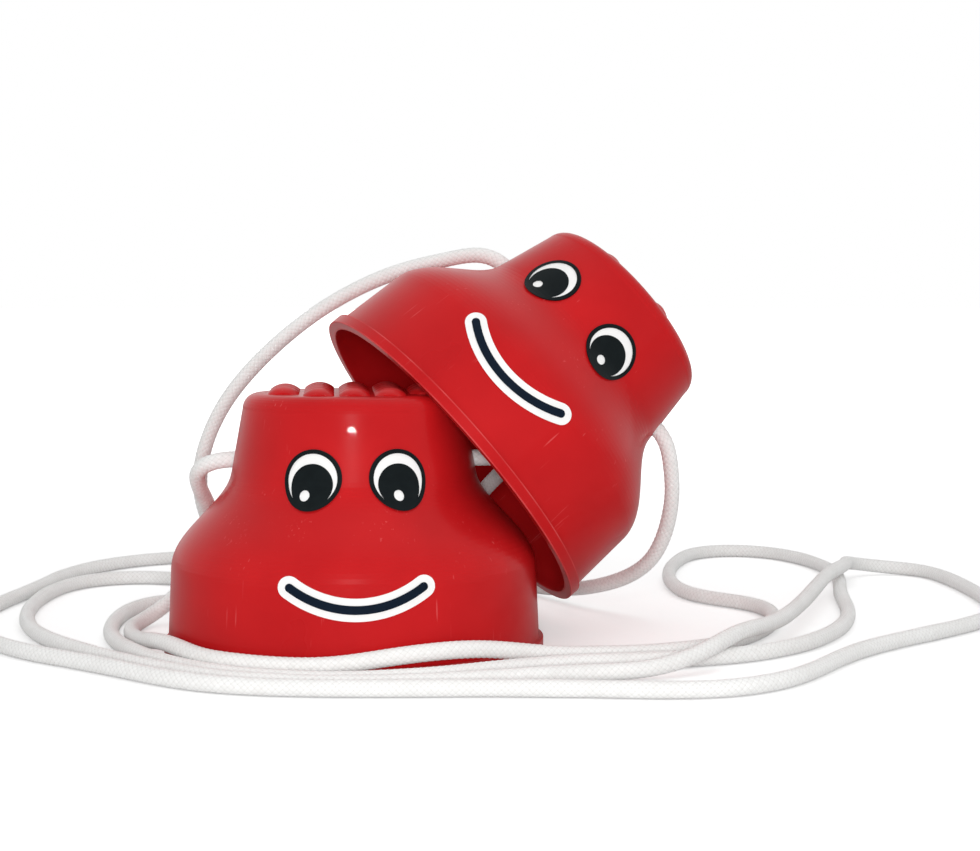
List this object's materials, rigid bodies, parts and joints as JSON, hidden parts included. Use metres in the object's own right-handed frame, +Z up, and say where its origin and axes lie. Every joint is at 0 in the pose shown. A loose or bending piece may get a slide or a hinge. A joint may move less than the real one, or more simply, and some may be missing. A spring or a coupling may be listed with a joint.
{
  "type": "cup stilts",
  "caption": "Pair of moulded plastic cup stilts with printed smiling faces, pimpled treads and loop cords; one stands open end down, the other hangs tilted over its platform.",
  "frame": {"origin": "centre of the standing stilt's open end, on the floor", "axes": "+Z up along the standing stilt's axis, -Y towards the viewer whom the faces look at, +X to the viewer's right, the side the other stilt leans to"},
  "size_m": [0.476, 0.4069, 0.1766],
  "materials": {
    "red_plastic": "glossy",
    "white_film": "glossy",
    "black_ink": "glossy",
    "navy_ink": "glossy",
    "cord": "braided"
  },
  "bodies": {
    "lower_stilt": {"lower_cup": "red_plastic", "lower_left_eye": "white_film", "lower_left_eye_ink": "black_ink", "lower_right_eye": "white_film", "lower_right_eye_ink": "black_ink", "lower_smile": "white_film", "lower_smile_ink": "navy_ink", "lower_left_knot": "cord", "lower_right_knot": "cord", "lower_cord": "cord"},
    "upper_stilt": {"upper_cup": "red_plastic", "upper_left_eye": "white_film", "upper_left_eye_ink": "black_ink", "upper_right_eye": "white_film", "upper_right_eye_ink": "black_ink", "upper_smile": "white_film", "upper_smile_ink": "navy_ink", "upper_left_knot": "cord", "upper_right_knot": "cord", "upper_cord": "cord"}
  },
  "joints": [
    {"name": "upper_stilt_lift", "type": "slide", "parent": "lower_stilt", "child": "upper_stilt", "axis": [0, 0, 1], "range_m": [0, 0.15], "deforming": ["upper_cord"]}
  ]
}
